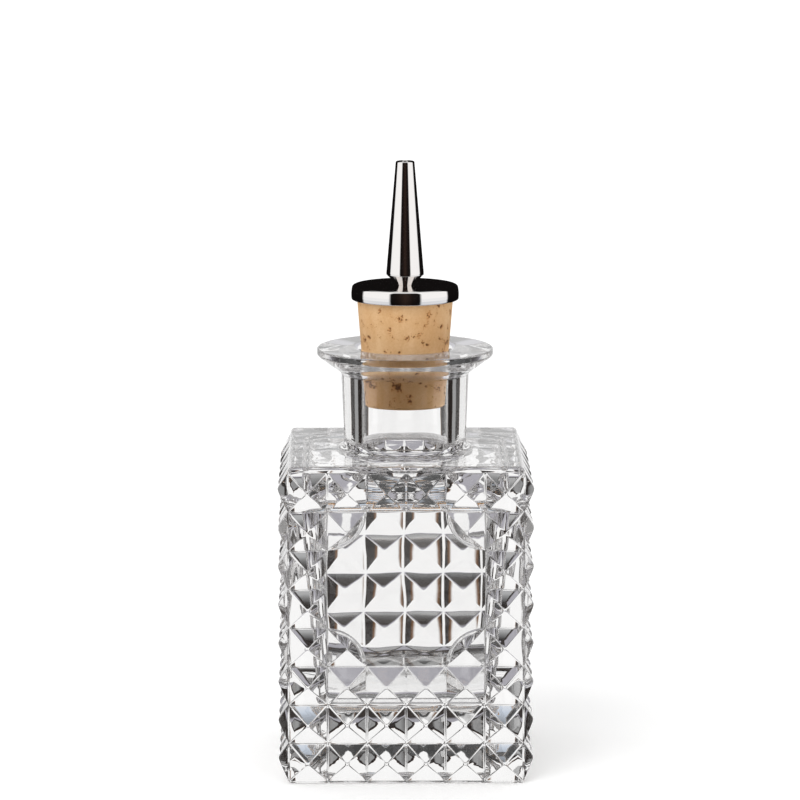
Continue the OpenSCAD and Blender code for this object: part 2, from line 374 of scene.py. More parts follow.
def finish_piece(name, bm, material, body, node):
    """Turns a bmesh into a smooth closed piece that stands for a CAD node."""
    bmesh.ops.remove_doubles(bm, verts=bm.verts, dist=MERGE)
    bmesh.ops.recalc_face_normals(bm, faces=bm.faces)
    if bm.calc_volume(signed=True) < 0:
        bmesh.ops.reverse_faces(bm, faces=bm.faces)
    open_edges = [e for e in bm.edges if not e.is_manifold]
    if open_edges:
        raise RuntimeError(f"{name} isn't closed: {len(open_edges)} open edges")
    for face in bm.faces:
        face.smooth = True
    mesh = bpy.data.meshes.new(name)
    bm.to_mesh(mesh)
    bm.free()
    mesh.materials.append(material)
    piece = bpy.data.objects.new(name, mesh)
    bpy.context.scene.collection.objects.link(piece)
    # Flat faces keep their own normals, and the roundings between them bend.
    flat = piece.modifiers.new("Flat faces", "WEIGHTED_NORMAL")
    flat.weight = 60
    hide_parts(node)
    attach(piece, body)
    return piece


def add_ring(bm, points, z):
    """Adds a level ring of vertices."""
    return [bm.verts.new((x, y, z)) for x, y in points]


def join_rings(bm, first, second):
    """Adds a band of faces between two rings with as many vertices."""
    count = len(first)
    for i in range(count):
        j = (i + 1) % count
        bm.faces.new((first[i], first[j], second[j], second[i]))


def join_all(bm, rings):
    """Adds the bands of faces between rings that follow one another."""
    for first, second in zip(rings, rings[1:]):
        join_rings(bm, first, second)


def add_fan(bm, tip, ring):
    """Adds the faces between a tip and the ring round it."""
    for i, vertex in enumerate(ring):
        bm.faces.new((tip, vertex, ring[(i + 1) % len(ring)]))


def four_turns(points):
    """Points of a stretch and of its three quarter turns."""
    loop = []
    for c, s in ((1, 0), (0, 1), (-1, 0), (0, -1)):
        loop += [(x * c - y * s, x * s + y * c) for x, y in points]
    return loop


def fill_between(bm, first, second):
    """Adds triangles between two level rings round the axis, taken by angle."""
    rings = [sorted(ring, key=lambda v: math.atan2(v.co.y, v.co.x))
             for ring in (first, second)]
    angles = [[math.atan2(v.co.y, v.co.x) for v in ring] for ring in rings]
    for turn in angles:
        turn.append(turn[0] + 2 * math.pi)
    i, j = 0, 0
    while i < len(first) or j < len(second):
        a, b = rings[0][i % len(first)], rings[1][j % len(second)]
        if j == len(second) or (i < len(first) and angles[0][i + 1] <= angles[1][j + 1]):
            i += 1
            bm.faces.new((a, rings[0][i % len(first)], b))
        else:
            j += 1
            bm.faces.new((a, rings[1][j % len(second)], b))


def point_profile(size, out):
    """Height of a point, from its tip at 0 to its foot at 1, a little pillowed."""
    return (1 - out) * (1 + size.pillow * out)


def diamond_point(size):
    """One diamond point, rounded at its ridges, its tip and its grooves."""
    half = size.cell / 2
    ridge, groove = size.ridge_w / half, size.groove_w / half
    rings = []
    for out in (ridge * 1.6, 0.4, 0.7, 1 - groove, 1.0):
        drop = RIDGE_DROP if out < 1 else 0.0
        ring = []
        for turn in range(4):
            side = [(-out, drop), (ridge - out, 0.0), (out - ridge, 0.0)]
            for along, lowered in side:
                height = size.point_h * (point_profile(size, out) - ridge * lowered)
                u, v = ((out, along), (-along, out), (-out, -along), (along, -out))[turn]
                ring.append((u * half, -max(height, 0.0), v * half))
        rings.append(ring)
    bm = bmesh.new()
    tip = bm.verts.new((0, -size.point_h * (1 - TIP_DROP * ridge), 0))
    made = [[bm.verts.new(p) for p in ring] for ring in rings]
    add_fan(bm, tip, made[0])
    join_all(bm, made)
    bmesh.ops.recalc_face_normals(bm, faces=bm.faces)
    mesh = bpy.data.meshes.new("diamond_point")
    bm.to_mesh(mesh)
    bm.free()
    return mesh


def faces_tree():
    """Geometry nodes that set one point mesh on all four faces of the body."""
    tree = bpy.data.node_groups.new("Diamond faces", "GeometryNodeTree")
    sockets = tree.interface
    sockets.new_socket("Geometry", in_out="INPUT", socket_type="NodeSocketGeometry")
    for name in ("Cell", "Low", "Corner radius", "Panel half", "Panel low", "Panel high"):
        sockets.new_socket(name, in_out="INPUT", socket_type="NodeSocketFloat")
    for name in ("Columns", "Rows"):
        sockets.new_socket(name, in_out="INPUT", socket_type="NodeSocketInt")
    sockets.new_socket("Glass", in_out="INPUT", socket_type="NodeSocketMaterial")
    sockets.new_socket("Geometry", in_out="OUTPUT", socket_type="NodeSocketGeometry")
    given = add_node(tree, "NodeGroupInput").outputs

    # One face: a grid of places, stood upright on the front of the body.
    gaps_across = add_node(tree, MATHS, {
        0: given["Columns"], 1: 1.0}, operation="SUBTRACT")
    gaps_up = add_node(tree, MATHS, {0: given["Rows"], 1: 1.0}, operation="SUBTRACT")
    across = add_node(tree, MATHS, {
        0: given["Cell"], 1: gaps_across.outputs[0]}, operation="MULTIPLY")
    up = add_node(tree, MATHS, {
        0: given["Cell"], 1: gaps_up.outputs[0]}, operation="MULTIPLY")
    places = add_node(tree, "GeometryNodeMeshGrid", {
        "Size X": across.outputs[0], "Size Y": up.outputs[0],
        "Vertices X": given["Columns"], "Vertices Y": given["Rows"]})
    width = add_node(tree, MATHS, {
        0: given["Cell"], 1: given["Columns"]}, operation="MULTIPLY")
    half = add_node(tree, MATHS, {0: width.outputs[0], 1: 0.5}, operation="MULTIPLY")
    front_y = add_node(tree, MATHS, {
        0: half.outputs[0], 1: -1.0}, operation="MULTIPLY")
    height = add_node(tree, MATHS, {
        0: given["Cell"], 1: given["Rows"]}, operation="MULTIPLY")
    middle = add_node(tree, MATHS, {
        0: height.outputs[0], 1: 0.5, 2: given["Low"]}, operation="MULTIPLY_ADD")
    shift = add_node(tree, "ShaderNodeCombineXYZ", {
        "Y": front_y.outputs[0], "Z": middle.outputs[0]})
    upright = add_node(tree, "GeometryNodeTransform", {
        "Geometry": places.outputs["Mesh"], "Translation": shift.outputs[0],
        "Rotation": (math.pi / 2, 0, 0)})

    # The front face leaves out the places of the bare panel.
    position = add_node(tree, "GeometryNodeInputPosition")
    parts = add_node(tree, "ShaderNodeSeparateXYZ", {0: position.outputs[0]}).outputs
    aside = add_node(tree, MATHS, {0: parts["X"]}, operation="ABSOLUTE")
    near = add_node(tree, MATHS, {
        0: aside.outputs[0], 1: given["Panel half"]}, operation="LESS_THAN")
    over = add_node(tree, MATHS, {
        0: parts["Z"], 1: given["Panel low"]}, operation="GREATER_THAN")
    under = add_node(tree, MATHS, {
        0: parts["Z"], 1: given["Panel high"]}, operation="LESS_THAN")
    beside = add_node(tree, MATHS, {
        0: near.outputs[0], 1: over.outputs[0]}, operation="MULTIPLY")
    inside = add_node(tree, MATHS, {
        0: beside.outputs[0], 1: under.outputs[0]}, operation="MULTIPLY")
    thinned = add_node(tree, "GeometryNodeDeleteGeometry", {
        "Geometry": upright.outputs[0], "Selection": inside.outputs[0]})

    # The outermost groove stands back by the radius of the upright edges.
    limit = add_node(tree, MATHS, {
        0: half.outputs[0], 1: given["Corner radius"]}, operation="SUBTRACT")
    limit_low = add_node(tree, MATHS, {
        0: limit.outputs[0], 1: -1.0}, operation="MULTIPLY")
    held = add_node(tree, "ShaderNodeClamp", {
        "Value": parts["X"], "Min": limit_low.outputs[0], "Max": limit.outputs[0]})
    stood_back = add_node(tree, "ShaderNodeCombineXYZ", {
        "X": held.outputs[0], "Y": parts["Y"], "Z": parts["Z"]})
    faces = []
    for points in (upright, thinned):
        copies = add_node(tree, "GeometryNodeInstanceOnPoints", {
            "Points": points.outputs[0], "Instance": given["Geometry"]})
        solid = add_node(tree, "GeometryNodeRealizeInstances", {
            "Geometry": copies.outputs[0]})
        faces.append(add_node(tree, "GeometryNodeSetPosition", {
            "Geometry": solid.outputs[0], "Position": stood_back.outputs[0]}))

    # The full face is turned onto the three other sides.
    turns = add_node(tree, "GeometryNodePoints", {"Count": 3})
    index = add_node(tree, "GeometryNodeInputIndex")
    angle = add_node(tree, MATHS, {
        0: index.outputs[0], 1: math.pi / 2, 2: math.pi / 2}, operation="MULTIPLY_ADD")
    turned = add_node(tree, "ShaderNodeCombineXYZ", {"Z": angle.outputs[0]})
    others = add_node(tree, "GeometryNodeInstanceOnPoints", {
        "Points": turns.outputs[0], "Instance": faces[0].outputs[0],
        "Rotation": turned.outputs[0]})
    joined = add_node(tree, "GeometryNodeJoinGeometry")
    tree.links.new(others.outputs[0], joined.inputs[0])
    tree.links.new(faces[1].outputs[0], joined.inputs[0])
    solid = add_node(tree, "GeometryNodeRealizeInstances", {
        "Geometry": joined.outputs[0]})
    painted = add_node(tree, "GeometryNodeSetMaterial", {
        "Geometry": solid.outputs[0], "Material": given["Glass"]})
    add_node(tree, "NodeGroupOutput", {"Geometry": painted.outputs[0]})
    return tree


def panel_limits(size):
    """Half width, lowest and highest level of the bare front panel."""
    half = size.cell * (size.columns / 2 - size.panel_side)
    low = size.heel_h + size.cell * size.panel_below
    high = size.heel_h + size.cell * (size.rows - size.panel_above)
    return half, low, high


def diamond_faces(size, glass):
    """Mesh of all the whole diamond points, made by the geometry nodes."""
    tree = faces_tree()
    half, low, high = panel_limits(size)
    template = bpy.data.objects.new("diamond_faces", diamond_point(size))
    bpy.context.scene.collection.objects.link(template)
    modifier = template.modifiers.new("Diamond faces", "NODES")
    modifier.node_group = tree
    values = {
        "Cell": size.cell, "Columns": size.columns, "Rows": size.rows,
        "Low": size.heel_h, "Corner radius": size.corner_r, "Panel half": half,
        "Panel low": low, "Panel high": high, "Glass": glass}
    for socket in tree.interface.items_tree:
        if socket.in_out == "INPUT" and socket.name in values:
            modifier[socket.identifier] = values[socket.name]
    graph = bpy.context.evaluated_depsgraph_get()
    mesh = bpy.data.meshes.new_from_object(template.evaluated_get(graph))
    bpy.data.objects.remove(template)
    return mesh


def add_quarter_point(bm, size, centre_x, centre_z, flip_x, flip_z):
    """A point in a corner of the panel, its inner face cut to a quarter round."""
    half = size.cell / 2
    ridge = size.ridge_w / half
    soft = 1 - ridge
    border = [(-1, 1), (-1, soft), (-1, -soft), (-1, -1), (-soft, -1), (soft, -1)]
    border += arc(-1, -1, 2, 0, 90, 14)[:-1]
    # The round side ends early, in a valley and a bead along the panel.
    valley, bead, bead_reach, bead_h = 0.74, 0.87, 0.13, 0.3 * MM
    shares = (1.6 * ridge, 0.4, 0.62, valley, 0.8, bead, 0.94)

    def height(u, v):
        """Height at a place, from the gauges of the straight and round sides."""
        total = u + v
        round_side = (total + math.sqrt(total * total + 2 * (u * u + v * v))) / 2
        mid, top = sorted((-u, -v, round_side))[1:]
        blend = RIDGE_DROP * max(ridge - (top - mid), 0.0) ** 2 / ridge
        plain = size.point_h * (point_profile(size, top) - blend)
        if top > round_side:
            return plain
        raised = bead_h * max(1 - ((top - bead) / bead_reach) ** 2, 0.0)
        facet = size.point_h * (point_profile(size, min(top / valley, 1.0)) - blend)
        # Next to the straight sides the bead fades into the plain point.
        weight = min((top - mid) / (0.16 * top), 1.0)
        return plain + (max(facet, 0.0) + raised - plain) * weight

    def place(u, v, h):
        return (centre_x + flip_x * u * half, -size.cell * size.columns / 2 - h,
                centre_z + flip_z * v * half)

    tip = bm.verts.new(place(0, 0, size.point_h * (1 - TIP_DROP * ridge)))
    rings = []
    for share in shares:
        spots = [(u * share, v * share) for u, v in border]
        rings.append([bm.verts.new(place(u, v, height(u, v))) for u, v in spots])
    rings.append([bm.verts.new(place(u, v, 0.0)) for u, v in border])
    add_fan(bm, tip, rings[0])
    join_all(bm, rings)


def edge_stations(size, count):
    """Places of the vertices along a row of cells, from its start."""
    soft = size.ridge_w
    steps = [size.cell * i + d for i in range(count) for d in (0, soft, size.cell - soft)]
    return steps + [size.cell * count]


def body_loop(size, share=1.0):
    """Square loop round the body, with its rounded upright edges."""
    half = size.cell * size.columns / 2
    back = half - size.corner_r
    side = [max(-back, min(back, s - half)) for s in edge_stations(size, size.columns)]
    slant = back + size.corner_r * math.sqrt(0.5)
    quarter = [(x, -half) for x in side] + [(slant, -slant)]
    return [(x * share, y * share) for x, y in four_turns(quarter)]


def add_upright_edges(bm, size):
    """Narrow round strips where two faces of the body meet."""
    half = size.cell * size.columns / 2
    back = half - size.corner_r
    slant = back + size.corner_r * math.sqrt(0.5)
    levels = [size.heel_h + s for s in edge_stations(size, size.rows)]
    for sx, sy in ((1, 1), (1, -1), (-1, 1), (-1, -1)):
        columns = [(back, half), (slant, slant), (half, back)]
        made = [
            [bm.verts.new((sx * x, sy * y, z)) for z in levels] for x, y in columns]
        for first, second in zip(made, made[1:]):
            for i in range(len(levels) - 1):
                bm.faces.new((first[i], first[i + 1], second[i + 1], second[i]))


def soft_ring(half, corner, roundness):
    """Ring that is a square with round corners at 0 and a circle at 1."""
    steps = RING_CORNER + RING_SIDE
    start = 45 * RING_SIDE / steps
    quarter = []
    for i in range(steps):
        if i < RING_CORNER:
            a = math.pi / 2 * i / RING_CORNER
            x = half - corner + corner * math.cos(a)
            y = half - corner + corner * math.sin(a)
        else:
            x = (half - corner) * (1 - 2 * (i - RING_CORNER) / RING_SIDE)
            y = half
        round_a = math.radians(start + 90 * i / steps)
        x += (half * math.cos(round_a) - x) * roundness
        y += (half * math.sin(round_a) - y) * roundness
        quarter.append((x, y))
    return four_turns(quarter)


def rippled(size, ring, z, share):
    """Ring of the cavity's wall, pushed in and out as a blown wall is."""
    up = 2 * (z - size.floor_z) / (size.roof_z - size.floor_z) - 1
    out = []
    for x, y in ring:
        # Three waves wind round and up the wall.
        a = math.atan2(y, x)
        wave = math.sin(5 * a + 140 * z) + 0.8 * math.sin(11 * a - 310 * z + 2)
        wave += 0.7 * math.sin(3 * a + 620 * z + 1)
        aside = min(abs(x), abs(y)) / max(abs(x), abs(y))
        crown = size.crown * (1 - aside ** 2) * max(1 - up ** 2, 0)
        push = 1 - share * (size.ripple * (1.2 + wave / 2) + crown) / math.hypot(x, y)
        out.append((x * push, y * push))
    return out


def cavity_rings(size):
    """Rings of the cavity, from the middle of its floor up to the bore.

    Each has its half width, corner radius, roundness, level and share of ripple.
    """
    outer = size.cell * size.columns / 2
    low_half, high_half = outer - size.wall_low, outer - size.wall_high
    corner = size.cavity_corner
    floor_r, roof_r = size.floor_r, size.roof_r
    dish = 0.3 * MM
    rings = [(low_half * f, corner * f, 0.3, size.floor_z - dish * (1 - f), 0.0)
             for f in (0.15, 0.35, 0.55, 0.7)]
    for out, up in arc(low_half - floor_r, size.floor_z + floor_r, floor_r, -90, 0, 8):
        rings.append((out, corner, 0.0, up, 0.5))
    low, high = size.floor_z + floor_r, size.roof_z - roof_r
    wall_steps = 16
    for i in range(1, wall_steps):
        half = low_half + (high_half - low_half) * i / wall_steps
        rings.append((half, corner, 0.0, low + (high - low) * i / wall_steps, 1.0))
    for out, up in arc(high_half - roof_r, size.roof_z - roof_r, roof_r, 0, 82, 9):
        rings.append((out, corner, (high_half - out) / roof_r * 0.4, up, 0.6))
    # The throat flares out of the bore to the roof.
    flare = 5.5 * MM
    neck_r = size.bore_r + flare
    rings.append((neck_r + 0.6 * MM, neck_r, 0.9, size.roof_z + 0.15 * MM, 0.0))
    for out, up in arc(neck_r, size.roof_z + 0.2 * MM + flare, flare, 270, 180, 8):
        rings.append((out, out, 1.0, up, 0.0))
    return rings


def neck_profile(size):
    """Radius and level up the bore, over the flange and down the neck."""
    mouth_z = BOTTLE_HIGH.z
    rim_top = mouth_z - 0.1 * MM
    rim_low = rim_top - size.flange_t
    # The flange's underside comes down to the neck over this height.
    cone_z = rim_low - 3.7 * MM
    # Radii of the lip, the rim's upper and lower edge and the neck's foot.
    lip, sharp, soft, foot = size.lip_r, 0.4 * MM, 0.9 * MM, 1.7 * MM
    lip_x = size.bore_r + lip
    profile = [(size.bore_r, size.roof_z + 4 * MM), (size.bore_r, mouth_z - lip - 4 * MM)]
    profile += arc(lip_x, mouth_z - lip, lip, 180, 90, 10)
    profile += [(lip_x + 1.5 * MM, mouth_z - 0.02 * MM)]
    profile += [(size.flange_r - sharp - 0.5 * MM, rim_top + 0.02 * MM)]
    profile += arc(size.flange_r - sharp, rim_top - sharp, sharp, 90, 0, 5)
    profile += arc(size.flange_r - soft, rim_low + soft, soft, 0, -54, 6)
    for out, up in ((2.4, 1.75), (0.7, 0.5), (0.2, 0.1), (0.02, -0.3), (0, -1.6)):
        profile.append((size.neck_top + out * MM, cone_z + up * MM))
    foot_z = size.shoulder_z + foot
    profile += [(size.neck_foot, foot_z + 0.5 * MM)]
    profile += arc(size.neck_foot + foot, foot_z, foot, 180, 270, 8)
    profile += [(size.neck_foot + foot + 0.3 * MM, size.shoulder_z)]
    return profile


def add_shoulder(bm, size, foot_ring):
    """Plain band, rounded edge and flat shoulder round the neck's foot."""
    half = size.cell * size.columns / 2
    top = size.heel_h + size.cell * size.rows
    levels = [(1.0, top)]
    for out, up in arc(half - size.shoulder_r, size.shoulder_z - size.shoulder_r,
                       size.shoulder_r, 0, 90, 6):
        levels.append((out / half, up))
    levels.append(((half - size.shoulder_r - 0.3 * MM) / half, size.shoulder_z))
    rings = [add_ring(bm, body_loop(size, share), z) for share, z in levels]
    join_all(bm, rings)
    fill_between(bm, rings[-1], foot_ring)


def add_base(bm, size):
    """Heel, standing rim and the shallow hollow inside it."""
    half = size.cell * size.columns / 2
    levels = []
    for out, up in arc(half - size.heel_h, size.heel_h, size.heel_h, 0, -90, 5):
        levels.append((out / half, up))
    levels.append(((half - size.heel_h - 0.3 * MM) / half, 0.0))
    rings = [add_ring(bm, body_loop(size, share), z) for share, z in levels]
    join_all(bm, rings)
    # The hollow is 1 mm deep inside a standing rim of 6 mm, with a soft edge.
    hollow = half - 6 * MM
    inner = []
    for inset, up in ((-0.3, 0), (0, 0), (0.5, 0.15), (1.1, 0.55), (1.7, 0.85),
                      (2.6, 1.0), (7, 1.0), (14, 1.0)):
        reach = hollow - inset * MM
        inner.append(add_ring(bm, soft_ring(reach, min(7 * MM, reach), 0.0), up * MM))
    join_all(bm, inner)
    bm.faces.new(inner[-1])
    fill_between(bm, rings[-1], inner[0])


class BOTTLE_OT_glass(bpy.types.Operator):
    """Make the pressed glass bottle."""

    bl_idname = "bottle.glass"
    bl_label = "Glass bottle"

    def execute(self, context):
        size = sizes()
        glass = glass_material()
        faces = diamond_faces(size, glass)
        bm = bmesh.new()
        bm.from_mesh(faces)
        half, low, high = panel_limits(size)
        step = size.cell / 2
        for sx, sz, z in ((1, 1, low + step), (1, -1, high - step)):
            add_quarter_point(bm, size, -half + step, z, sx, sz)
            add_quarter_point(bm, size, half - step, z, -sx, sz)
        add_upright_edges(bm, size)
        rings = []
        for reach, corner, roundness, z, share in cavity_rings(size):
            ring = soft_ring(reach, corner, roundness)
            rings.append(add_ring(bm, rippled(size, ring, z, share), z))
        for r, z in neck_profile(size):
            rings.append(add_ring(bm, soft_ring(r, r, 1.0), z))
        bm.faces.new(rings[0])
        join_all(bm, rings)
        add_shoulder(bm, size, rings[-1])
        add_base(bm, size)
        bmesh.ops.remove_doubles(bm, verts=bm.verts, dist=MERGE)
        hole = [e for e in bm.edges if e.is_boundary]
        bmesh.ops.holes_fill(bm, edges=hole, sides=0)
        finish_piece("glass_bottle", bm, glass, "bottle", "bottle")
        return {"FINISHED"}


def add_turned(bm, profile, steps=TURN_STEPS):
    """Adds a closed turned solid from its profile of radius and level."""
    angles = [2 * math.pi * i / steps for i in range(steps)]
    rings = [add_ring(bm, circle(r, angles), z) for r, z in profile]
    join_all(bm, rings + rings[:1])


def held(profile, gap=0.06 * MM):
    """Closed profile with a point near both ends of each long straight stretch."""
    out = []
    for (r0, z0), (r1, z1) in zip(profile, profile[1:] + profile[:1]):
        out.append((r0, z0))
        far = math.hypot(r1 - r0, z1 - z0)
        if far > 4 * gap:
            for d in (gap, far - gap):
                out.append((r0 + (r1 - r0) * d / far, z0 + (z1 - z0) * d / far))
    return out


class PoreField:
    """Cracks of the cork's side, and how deep they are at a place."""

    # Radii of a pit at which it has faded out.
    RIM = 1.35

    def __init__(self, stopper, low, high, mean_r):
        rng = np.random.default_rng(stopper.pore_seed)
        self.mean_r = mean_r
        self.depth = stopper.pore_depth
        # Every crack is a wandering chain of round pits.
        self.pits = []
        for _ in range(stopper.pore_count):
            angle, level = rng.uniform(0, 2 * math.pi), rng.uniform(low, high)
            heading, size = rng.normal(math.pi / 2, 0.8), rng.random() ** 2
            for _ in range(rng.integers(2, 4 + int(7 * size))):
                radius = (0.11 + 0.16 * size + 0.08 * rng.random()) * MM
                self.pits.append((angle, level, radius, 0.4 + 0.6 * rng.random()))
                heading += rng.normal(0, 0.7)
                step = radius * rng.uniform(0.9, 1.9)
                angle += step * math.cos(heading) / mean_r
                level += step * math.sin(heading)

    def at(self, angle, level):
        """Depth of the cracks and strength of their warm edges at many places."""
        depth = np.zeros(angle.shape)
        halo = np.zeros(angle.shape)
        for at_angle, at_level, radius, share in self.pits:
            gap = (angle - at_angle + math.pi) % (2 * math.pi) - math.pi
            far = np.hypot(gap * self.mean_r, level - at_level) / radius
            pit = self.depth * share * np.clip((self.RIM - far) / 0.8, 0, 1)
            depth = np.maximum(depth, pit)
            halo = np.maximum(halo, np.clip(self.RIM - far / 2, 0, 1))
        return depth, halo


class BOTTLE_OT_cork(bpy.types.Operator):
    """Make the cork with its pores."""

    bl_idname = "bottle.cork"
    bl_label = "Cork"

    def execute(self, context):
        stopper = stopper_sizes()
        # Vertices round the side and up it, close enough together for the cracks.
        around, up = 340, 150
        low_r, high_r = stopper.cork_low_r, CORK_HIGH.x
        low, high = CORK_LOW.z, CORK_HIGH.z
        field = PoreField(stopper, low, high, (low_r + high_r) / 2)
        bevel = 0.4 * MM
        shares = [0.0, 0.5 * bevel / (high - low)]
        shares += list(np.linspace(bevel / (high - low), 1.0, up))
        angles = np.linspace(0, 2 * math.pi, around, endpoint=False)
        bm = bmesh.new()
        pore_layer = bm.verts.layers.float.new("pore")
        halo_layer = bm.verts.layers.float.new("halo")
        rings = []
        for share in shares:
            z = low + (high - low) * share
            cut = max(0.0, bevel - (z - low))
            depth, halo = field.at(angles, np.full(around, z))
            radius = low_r + (high_r - low_r) * share - cut - depth
            ring = []
            for a, r, d, h in zip(angles, radius, depth, halo):
                vertex = bm.verts.new((r * math.cos(a), r * math.sin(a), z))
                vertex[pore_layer] = min(1.0, 1.6 * d / stopper.pore_depth)
                vertex[halo_layer] = 0.75 * h
                ring.append(vertex)
            rings.append(ring)
        # Over the top, down the hole for the tube and under the foot.
        hole, edge = stopper.bore_r, 0.2 * MM
        for r, z in ((high_r - 0.3 * MM, high), (hole + edge, high), (hole, high - edge),
                     (hole, low + edge), (hole + edge, low), (low_r - 0.9 * MM, low)):
            rings.append(add_ring(bm, circle(r, angles), z))
        join_all(bm, rings + rings[:1])
        finish_piece("cork_plug", bm, cork_material(), "stopper", "cork")
        return {"FINISHED"}


class BOTTLE_OT_metal(bpy.types.Operator):
    """Make the cap, the spout and the stem tube."""

    bl_idname = "bottle.metal"
    bl_label = "Cap, spout and tube"

    def execute(self, context):
        stopper = stopper_sizes()
        chrome = chrome_material()
        hole = stopper.bore_r
        bm = bmesh.new()
        add_turned(bm, held(self.cap_profile(stopper, hole)))
        finish_piece("cap_shell", bm, chrome, "stopper", "cap")
        bm = bmesh.new()
        add_turned(bm, held(self.spout_profile(stopper, hole)))
        finish_piece("dasher_spout", bm, chrome, "stopper", "spout")
        bm = bmesh.new()
        outer, inner, edge = TUBE_HIGH.x, 1 * MM, 0.12 * MM
        low, high = TUBE_LOW.z, TUBE_HIGH.z
        profile = [(outer, low + edge), (outer, high - edge), (outer - edge, high)]
        profile += [(inner + edge, high), (inner, high - edge), (inner, low + edge)]
        profile += [(inner + edge, low), (outer - edge, low)]
        add_turned(bm, held(profile, 0.03 * MM), 64)
        finish_piece("stem_pipe", bm, steel_material(), "stopper", "stem_tube")
        return {"FINISHED"}

    def cap_profile(self, stopper, hole):
        """Cap with a round upper edge and a rolled lower lip."""
        r, low, top = CAP_HIGH.x, CAP_LOW.z, CAP_HIGH.z
        edge, lip = stopper.cap_edge, stopper.cap_lip
        inside = CORK_HIGH.x + 0.02 * MM
        under = CORK_HIGH.z
        upper_r = r - 0.15 * MM
        profile = [(hole, under), (inside, under), (inside, low)]
        profile += arc(r - lip - 0.05 * MM, low + lip, lip, -90, 0, 4)
        band = top - edge - low - lip
        profile += [(r - 0.01 * MM, low + lip + 0.3 * band)]
        profile += [(r - 0.03 * MM, low + lip + 0.6 * band)]
        profile += arc(upper_r - edge, top - edge, edge, 0, 90, 8)
        profile += [(hole, top)]
        return profile

    def spout_profile(self, stopper, hole):
        """Bevelled foot, ring groove, long cone and rounded tip with its outlet."""
        low, top = SPOUT_LOW.z, SPOUT_HIGH.z
        base = SPOUT_HIGH.x
        cone = low + stopper.foot_h
        groove = stopper.groove
        slope = (base - stopper.tip_r) / (top - cone)
        tip = 0.3 * MM
        profile = [(hole, low), (hole + 0.3 * MM, low)]
        profile += [(base - 0.1 * MM, cone - 0.1 * MM), (base, cone)]
        profile += [(base - groove, cone + groove)]
        profile += [(base - slope * 2 * groove, cone + 2 * groove)]
        profile += arc(stopper.tip_r - tip, top - tip, tip, 0, 90, 5)
        outlet = stopper.outlet_r
        profile += [(outlet + 0.1 * MM, top), (outlet, top - 0.15 * MM)]
        profile += [(1 * MM, TUBE_HIGH.z), (hole, TUBE_HIGH.z)]
        return profile


def ramp_stops(low, high, *places):
    """Ramp stops from places in degrees and their grey or RGB values."""
    made = []
    for degrees, value in places:
        tint = value if isinstance(value, tuple) else (value,) * 3
        made.append(((degrees - low) / (high - low), (*tint, 1.0)))
    return made


